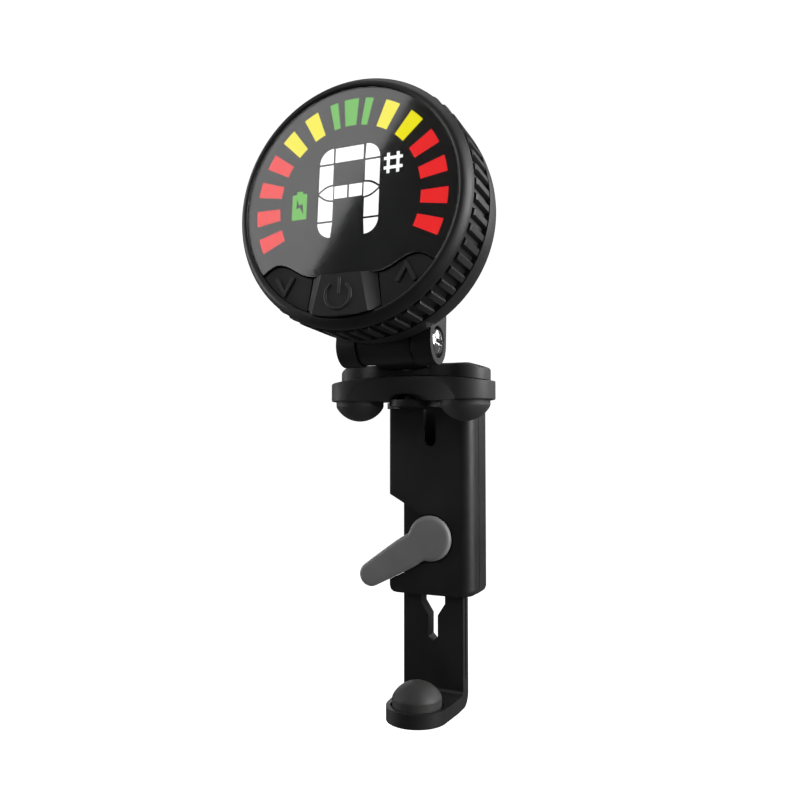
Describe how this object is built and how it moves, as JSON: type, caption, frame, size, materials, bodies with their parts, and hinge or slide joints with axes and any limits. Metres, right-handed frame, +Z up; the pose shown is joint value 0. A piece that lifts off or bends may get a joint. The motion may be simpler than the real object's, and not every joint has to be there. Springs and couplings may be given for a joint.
{
  "type": "clip-on tuner",
  "caption": "Clip-on instrument tuner: round display drum with knurled grip on a tilting, swivelling mount over a sliding jaw clamp with a locking lever.",
  "frame": {"origin": "on the swivel axis, level with the crowns of the two upper pads, where the headstock's face rests", "axes": "+Z up along the swivel axis and the post, +X to the viewer's right, +Y away from the viewer; the display faces -Y, leaning back 4.5 degrees"},
  "size_m": [0.0418, 0.0465, 0.1104],
  "materials": {
    "front_bezel": "fine textured black moulding",
    "knurled_grip": "fine textured black moulding",
    "display_lens": "smoked clear window, polished",
    "light_guide": "milky diffuser",
    "circuit_board": "green solder mask",
    "battery": "foil pouch",
    "piezo_sensor": "bare",
    "usb_port": "plated",
    "back_plate": "fine textured black moulding",
    "switch_left": "plated",
    "switch_power": "plated",
    "switch_right": "plated",
    "drum_screw_1": "plated",
    "drum_screw_2": "plated",
    "drum_screw_3": "plated",
    "turn_washer": "plated",
    "turn_screw": "fine textured black moulding",
    "button_left": "matt black key",
    "button_power": "matt black key",
    "button_right": "matt black key",
    "rear_yoke": "fine textured black moulding",
    "hinge_screw": "bright plated",
    "hinge_nut": "plated",
    "hinge_bush": "natural nylon",
    "swivel_plate": "fine textured black moulding",
    "pad_carrier": "fine textured black moulding",
    "upper_pad_left": "matt, soft",
    "upper_pad_right": "matt, soft",
    "channel_bracket": "fine textured black moulding",
    "channel_back": "fine textured black moulding",
    "post_screw_1": "plated",
    "post_screw_2": "plated",
    "post_screw_3": "plated",
    "guide_pin": "plated",
    "swivel_screw": "plated",
    "swivel_washer": "plated",
    "slider_jaw": "fine textured black moulding",
    "jaw_pad": "matt, soft",
    "lock_lever": "satin grey",
    "lever_rivet": "plated",
    "brake_shoe": "natural nylon"
  },
  "bodies": {
    "clamp": {"pad_carrier": "pad_carrier", "upper_pad_left": "upper_pad_left", "upper_pad_right": "upper_pad_right", "channel_bracket": "channel_bracket", "channel_back": "channel_back", "post_screw_1": "post_screw_1", "post_screw_2": "post_screw_2", "post_screw_3": "post_screw_3", "guide_pin": "guide_pin", "swivel_screw": "swivel_screw", "swivel_washer": "swivel_washer"},
    "swivel": {"swivel_plate": "swivel_plate", "hinge_bush": "hinge_bush"},
    "tilt_mount": {"rear_yoke": "rear_yoke", "hinge_screw": "hinge_screw", "hinge_nut": "hinge_nut"},
    "display_head": {"front_bezel": "front_bezel", "knurled_grip": "knurled_grip", "display_lens": "display_lens", "light_guide": "light_guide", "circuit_board": "circuit_board", "battery": "battery", "piezo_sensor": "piezo_sensor", "usb_port": "usb_port", "back_plate": "back_plate", "switch_left": "switch_left", "switch_power": "switch_power", "switch_right": "switch_right", "drum_screw_1": "drum_screw_1", "drum_screw_2": "drum_screw_2", "drum_screw_3": "drum_screw_3", "turn_washer": "turn_washer", "turn_screw": "turn_screw"},
    "left_key": {"button_left": "button_left"},
    "power_key": {"button_power": "button_power"},
    "right_key": {"button_right": "button_right"},
    "jaw": {"slider_jaw": "slider_jaw", "jaw_pad": "jaw_pad"},
    "lever": {"lock_lever": "lock_lever", "lever_rivet": "lever_rivet"},
    "shoe": {"brake_shoe": "brake_shoe"}
  },
  "joints": [
    {"name": "head_swivel", "type": "hinge", "parent": "clamp", "child": "swivel", "pos_m": [0, 0, 0], "axis": [0, 0, 1], "continuous": true},
    {"name": "head_tilt", "type": "hinge", "parent": "swivel", "child": "tilt_mount", "pos_m": [0, -0.00912, 0.01337], "axis": [1, 0, 0], "range_deg": [-45, 45]},
    {"name": "display_turn", "type": "hinge", "parent": "tilt_mount", "child": "display_head", "pos_m": [0, -0.02538, 0.03442], "axis": [0, 0.9969, -0.0785], "continuous": true},
    {"name": "left_press", "type": "slide", "parent": "display_head", "child": "left_key", "axis": [0, 0.9969, -0.0785], "range_m": [0, 0.00025], "stiffness_N_per_m": 400, "springref_m": -0.0015},
    {"name": "power_press", "type": "slide", "parent": "display_head", "child": "power_key", "axis": [0, 0.9969, -0.0785], "range_m": [0, 0.00025], "stiffness_N_per_m": 400, "springref_m": -0.0015},
    {"name": "right_press", "type": "slide", "parent": "display_head", "child": "right_key", "axis": [0, 0.9969, -0.0785], "range_m": [0, 0.00025], "stiffness_N_per_m": 400, "springref_m": -0.0015},
    {"name": "jaw_slide", "type": "slide", "parent": "clamp", "child": "jaw", "axis": [0, 0, 1], "range_m": [0, 0.0185]},
    {"name": "lock_lever_turn", "type": "hinge", "parent": "clamp", "child": "lever", "pos_m": [0, 0.0097, -0.0228], "axis": [0, 1, 0], "range_deg": [0, 52]},
    {"name": "shoe_release", "type": "slide", "parent": "clamp", "child": "shoe", "axis": [0, 1, 0], "range_m": [-0.0004, 0]}
  ],
  "couplings": [
    {"joint": "shoe_release", "follows": "lock_lever_turn", "m_per_rad": -0.00033}
  ]
}
